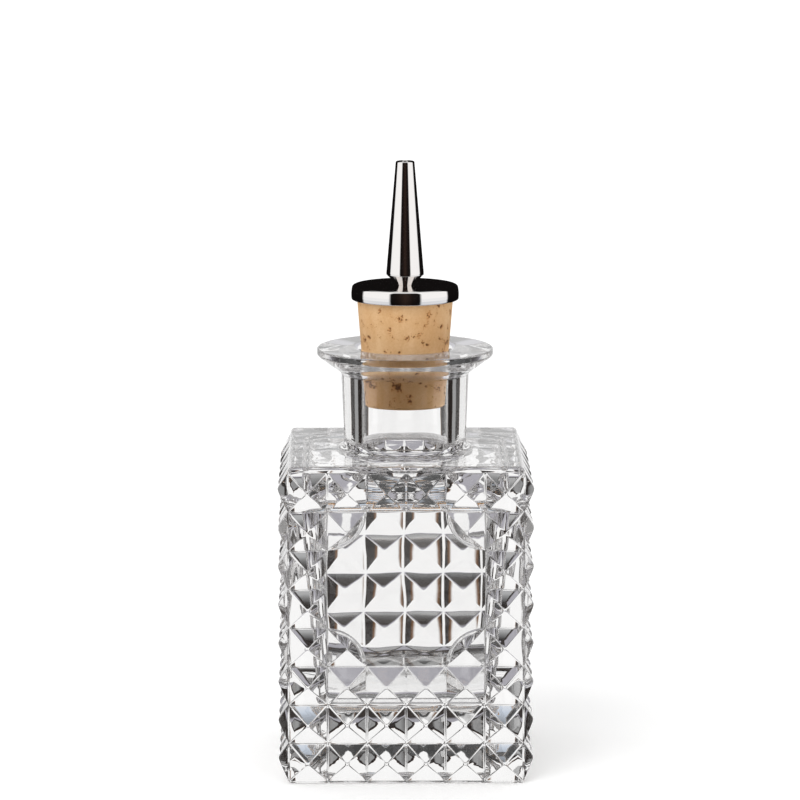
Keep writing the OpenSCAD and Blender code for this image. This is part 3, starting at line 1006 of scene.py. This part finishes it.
class StudioLight:
    """White studio: cards and gaps between them show only in metal and glass."""

    white, brown = (1.0, 0.995, 0.99), (0.2, 0.1, 0.045)
    dark, warm = (0.022, 0.017, 0.015), (0.2, 0.15, 0.1)
    black = (0.006, 0.005, 0.005)

    def __init__(self, tree):
        self.tree = tree
        self.path = add_node(tree, "ShaderNodeLightPath").outputs
        direction = add_node(tree, "ShaderNodeTexCoord").outputs["Generated"]
        parts = add_node(tree, "ShaderNodeSeparateXYZ", {0: direction}).outputs
        # Angle round the bottle, with 0 behind it, and the same for both sides.
        self.azimuth = add_node(tree, MATHS, {
            0: parts["X"], 1: parts["Y"]}, operation="ARCTAN2").outputs[0]
        self.apart = add_node(tree, MATHS, {
            0: self.azimuth}, operation="ABSOLUTE").outputs[0]
        # From 0 behind to 1 in front, and from 0 below to 1 above.
        self.turn = add_node(tree, MATHS, {
            0: self.apart, 1: 1 / math.pi}, operation="MULTIPLY").outputs[0]
        rise = add_node(tree, MATHS, {
            0: parts["Z"]}, operation="ARCSINE").outputs[0]
        self.level = add_node(tree, MATHS, {
            0: rise, 1: 1 / math.pi, 2: 0.5}, operation="MULTIPLY_ADD").outputs[0]
        # Share of the windows at each height, which the cork's side light has too.
        band = add_node(tree, RAMP, {"Fac": self.level}, stops=ramp_stops(
            -90, 90, (-27, 0.0), (-22, 1.0), (24, 1.0), (29, 0.0)))
        self.band = band.outputs["Color"]

    def open_glass(self):
        """White windows straight behind each face, and greys under and over them."""
        tree = self.tree
        turned = add_node(tree, MATHS, {
            0: self.azimuth, 1: math.radians(0.3)}, operation="ADD").outputs[0]
        folded = add_node(tree, MATHS, {
            0: turned, 1: math.pi / 4}, operation="PINGPONG").outputs[0]
        share = add_node(tree, MATHS, {
            0: folded, 1: 4 / math.pi}, operation="MULTIPLY").outputs[0]
        windows = add_node(tree, RAMP, {"Fac": share}, stops=ramp_stops(
            0, 45, (0, self.white), (20.3, self.white), (21.1, self.brown),
            (22.0, self.dark), (37, self.dark), (39.5, 0.3)))
        shade, sheen = (0.05, 0.043, 0.04), (0.42, 0.41, 0.45)
        around = add_node(tree, RAMP, {"Fac": self.level}, stops=ramp_stops(
            -90, 90, (-90, 0.5), (-72, 0.4), (-62, 0.12), (-54, shade), (-40, shade),
            (-37, sheen), (-26, sheen), (28, 0.06), (56, 0.1), (72, (0.6, 0.66, 0.75)),
            (85, 1.0)))
        return add_node(tree, MIX, {
            "Factor": self.band, "A": around.outputs["Color"],
            "B": windows.outputs["Color"]}, data_type="RGBA").outputs["Result"]

    def through_glass(self):
        """What glass shows: the open view, less the veil, and even after many faces."""
        tree = self.tree
        # Light that the inside of the near wall throws back has met four surfaces.
        # It finds a dark front, so no veil lies over the cork and the far points.
        front = add_node(tree, MAP_RANGE, {
            "Value": self.apart, "From Min": math.radians(135),
            "From Max": math.radians(155)})
        thrown = add_node(tree, MATHS, {
            0: self.path["Ray Depth"], 1: 4.0, 2: 0.5}, operation="COMPARE")
        hidden = add_node(tree, MATHS, {
            0: front.outputs["Result"], 1: thrown.outputs["Value"]}, operation="MULTIPLY")
        reach = add_node(tree, RAMP, {"Fac": self.level}, stops=ramp_stops(
            -90, 90, (-72, 0.0), (-60, 1.0), (56, 1.0), (66, 0.0)))
        hushed = add_node(tree, MATHS, {
            0: hidden.outputs["Value"], 1: reach.outputs["Color"]}, operation="MULTIPLY")
        glass = add_node(tree, MIX, {
            "Factor": hushed.outputs["Value"], "A": self.open_glass(),
            "B": (*self.dark, 1.0)}, data_type="RGBA")
        # Light that has wandered far through the glass comes out even.
        wandered = add_node(tree, MAP_RANGE, {
            "Value": self.path["Ray Depth"], "From Min": 6.0, "From Max": 12.0,
            "To Max": 0.6})
        return add_node(tree, MIX, {
            "Factor": wandered.outputs["Result"], "A": glass.outputs["Result"],
            "B": (0.5, 0.475, 0.46, 1.0)}, data_type="RGBA").outputs["Result"]

    def mirrored(self):
        """What metal shows, and what the glass shows as a sharp mirror."""
        tree = self.tree
        # Metal: a dark camera side, a soft box on both sides of it, and dark behind.
        cards = add_node(tree, RAMP, {"Fac": self.turn}, stops=ramp_stops(
            0, 180, (0, self.black), (75, self.black), (80, 1.0), (144, 1.0),
            (149, self.black), (165, (0.012, 0.008, 0.007)), (180, (0.03, 0.018, 0.014))))
        # The soft boxes are a little dimmer and bluer towards the table.
        fall = add_node(tree, RAMP, {"Fac": self.level}, stops=ramp_stops(
            -90, 90, (-90, 0.4), (-24, (0.5, 0.53, 0.58)), (-10, (0.86, 0.88, 0.9)),
            (0, 1.0)))
        boxes = add_node(tree, MIX, {
            "Factor": 1.0, "A": cards.outputs["Color"], "B": fall.outputs["Color"]},
            data_type="RGBA", blend_type="MULTIPLY")
        # Glass mirrors show the white wall behind and little else.
        wall = add_node(tree, RAMP, {"Fac": self.turn}, stops=ramp_stops(
            0, 180, (0, 1.0), (30, 1.0), (55, 0.04), (180, 0.03)))
        # Both show the table from below and the ceiling from above.
        above = add_node(tree, RAMP, {"Fac": self.level}, stops=ramp_stops(
            -90, 90, (-90, 0.3), (-60, 0.5), (-35, 0.0), (45, 0.0), (60, 0.6), (90, 0.9)))
        metal, glint = (add_node(tree, MIX, {
            "Factor": 1.0, "A": view, "B": above.outputs["Color"]},
            data_type="RGBA", blend_type="LIGHTEN").outputs["Result"]
            for view in (boxes.outputs["Result"], wall.outputs["Color"]))
        return add_node(tree, MIX, {
            "Factor": self.path["Is Singular Ray"], "A": metal, "B": glint},
            data_type="RGBA").outputs["Result"]

    def cork_in_neck(self):
        """Light for matt surfaces in the glass: it comes in from both sides."""
        sides = add_node(self.tree, RAMP, {"Fac": self.turn}, stops=ramp_stops(
            0, 180, (0, 1.0), (45, 1.0), (62, 3.3), (116, 3.3), (130, self.warm),
            (180, self.warm)))
        return add_node(self.tree, MIX, {
            "Factor": self.band, "A": (*self.warm, 1.0), "B": sides.outputs["Color"]},
            data_type="RGBA").outputs["Result"]

    def seen_by_all(self):
        """Light by the kind of ray: plain and soft for all but mirrors and glass."""
        tree, path = self.tree, self.path
        seen = add_node(tree, MIX, {
            "Factor": path["Is Camera Ray"], "A": (0.84, 0.84, 0.84, 1.0),
            "B": (1, 1, 1, 1)}, data_type="RGBA")
        mirrored = add_node(tree, MIX, {
            "Factor": path["Is Glossy Ray"], "A": seen.outputs["Result"],
            "B": self.mirrored()}, data_type="RGBA")
        passed = add_node(tree, MIX, {
            "Factor": path["Is Transmission Ray"], "A": mirrored.outputs["Result"],
            "B": self.through_glass()}, data_type="RGBA")
        matt = add_node(tree, MATHS, {
            0: path["Diffuse Depth"], 1: path["Is Transmission Ray"]},
            operation="MULTIPLY").outputs[0]
        return add_node(tree, MIX, {
            "Factor": matt, "A": passed.outputs["Result"], "B": self.cork_in_neck()},
            data_type="RGBA").outputs["Result"]


class BOTTLE_OT_studio(bpy.types.Operator):
    """Make the camera, the floor, the lamps and the world."""

    bl_idname = "bottle.studio"
    bl_label = "Studio"

    def execute(self, context):
        scene = context.scene
        self.make_camera(scene)
        self.make_floor(scene)
        self.make_lamps(scene)
        scene.world = self.make_world()
        scene.view_settings.view_transform = "Standard"
        # Light passes many faces of the cut glass before it gets out.
        scene.cycles.max_bounces = 32
        scene.cycles.transmission_bounces = 32
        scene.cycles.glossy_bounces = 16
        return {"FINISHED"}

    def make_camera(self, scene):
        """Long lens a little above the bottle, as in the photograph."""
        studio = scene.bottle_studio
        data = bpy.data.cameras.new("camera")
        data.sensor_width = 36.0
        data.lens = studio.lens
        data.clip_start = 0.01
        camera = bpy.data.objects.new("camera", data)
        scene.collection.objects.link(camera)
        a, e = studio.azimuth, studio.elevation
        flat = math.cos(e)
        back = Vector((math.sin(a) * flat, -math.cos(a) * flat, math.sin(e)))
        camera.location = Vector(studio.aim) + back * studio.distance
        camera.rotation_mode = "QUATERNION"
        camera.rotation_quaternion = (-back).to_track_quat("-Z", "Y")
        scene.camera = camera

    def make_floor(self, scene):
        """White floor that only the camera and soft light see."""
        bm = bmesh.new()
        bmesh.ops.create_circle(bm, cap_ends=True, segments=96, radius=6.0)
        mesh = bpy.data.meshes.new("floor")
        bm.to_mesh(mesh)
        bm.free()
        floor = bpy.data.objects.new("floor", mesh)
        scene.collection.objects.link(floor)
        floor.visible_glossy = False
        floor.visible_transmission = False
        material, tree, output, place = new_material("Matt studio floor")
        matt = add_node(tree, "ShaderNodeBsdfDiffuse", {
            "Color": linear(finishes().floor)})
        # The camera sees the lit floor as white, and the shadow on it.
        seen = add_node(tree, "ShaderNodeLightPath").outputs["Is Camera Ray"]
        lift = add_node(tree, "ShaderNodeEmission", {
            "Color": (0.22, 0.22, 0.22, 1.0), "Strength": seen})
        white = add_node(tree, "ShaderNodeAddShader", {
            0: matt.outputs["BSDF"], 1: lift.outputs["Emission"]})
        # Seen from under it the floor is clear, so that the base shows.
        clear = add_node(tree, "ShaderNodeBsdfTransparent")
        side = add_node(tree, "ShaderNodeNewGeometry").outputs["Backfacing"]
        mixed = add_node(tree, "ShaderNodeMixShader", {
            0: side, 1: white.outputs["Shader"], 2: clear.outputs["BSDF"]})
        tree.links.new(mixed.outputs["Shader"], output.inputs["Surface"])
        mesh.materials.append(material)

    def make_lamps(self, scene):
        """One broad soft lamp from the upper left."""
        data = bpy.data.lights.new("key_lamp", "SUN")
        data.angle = math.radians(35)
        data.energy = 0.8
        lamp = bpy.data.objects.new("key_lamp", data)
        scene.collection.objects.link(lamp)
        lamp.location = (-0.7, -0.9, 1.3)
        aim = Vector((0, 0, 0.08)) - lamp.location
        lamp.rotation_mode = "QUATERNION"
        lamp.rotation_quaternion = aim.to_track_quat("-Z", "Y")
        lamp.visible_glossy = False
        lamp.visible_transmission = False

    def make_world(self):
        """White studio all round the bottle."""
        world = bpy.data.worlds.new("studio")
        world.use_nodes = True
        tree = world.node_tree
        tree.nodes.clear()
        background = add_node(tree, "ShaderNodeBackground", {
            "Color": StudioLight(tree).seen_by_all(), "Strength": 1.0})
        add_node(tree, "ShaderNodeOutputWorld", {"Surface": background.outputs[0]})
        return world


class BOTTLE_PT_panel(bpy.types.Panel):
    """Panel in the sidebar of the 3D view."""

    bl_label = "Bitters bottle"
    bl_idname = "BOTTLE_PT_panel"
    bl_space_type = "VIEW_3D"
    bl_region_type = "UI"
    bl_category = "Bottle"

    def draw(self, context):
        for step in OPERATORS:
            self.layout.operator(step.bl_idname)
        for group in GROUPS:
            box = self.layout.box()
            values = getattr(context.scene, group)
            for name in values.__annotations__:
                box.prop(values, name)


GROUPS = {
    "bottle_sizes": BottleSizes,
    "stopper_sizes": StopperSizes,
    "bottle_finishes": Finishes,
    "bottle_studio": StudioSettings,
}
OPERATORS = (BOTTLE_OT_studio, BOTTLE_OT_glass, BOTTLE_OT_cork, BOTTLE_OT_metal)


def register():
    for kind in (*GROUPS.values(), *OPERATORS, BOTTLE_PT_panel):
        bpy.utils.register_class(kind)
    for name, kind in GROUPS.items():
        setattr(bpy.types.Scene, name, PointerProperty(type=kind))


def unregister():
    for name in GROUPS:
        delattr(bpy.types.Scene, name)
    for kind in (BOTTLE_PT_panel, *reversed(OPERATORS), *reversed(GROUPS.values())):
        bpy.utils.unregister_class(kind)


def main():
    register()
    bpy.ops.bottle.studio()
    bpy.ops.bottle.glass()
    bpy.ops.bottle.cork()
    bpy.ops.bottle.metal()


if __name__ == "__main__":
    main()
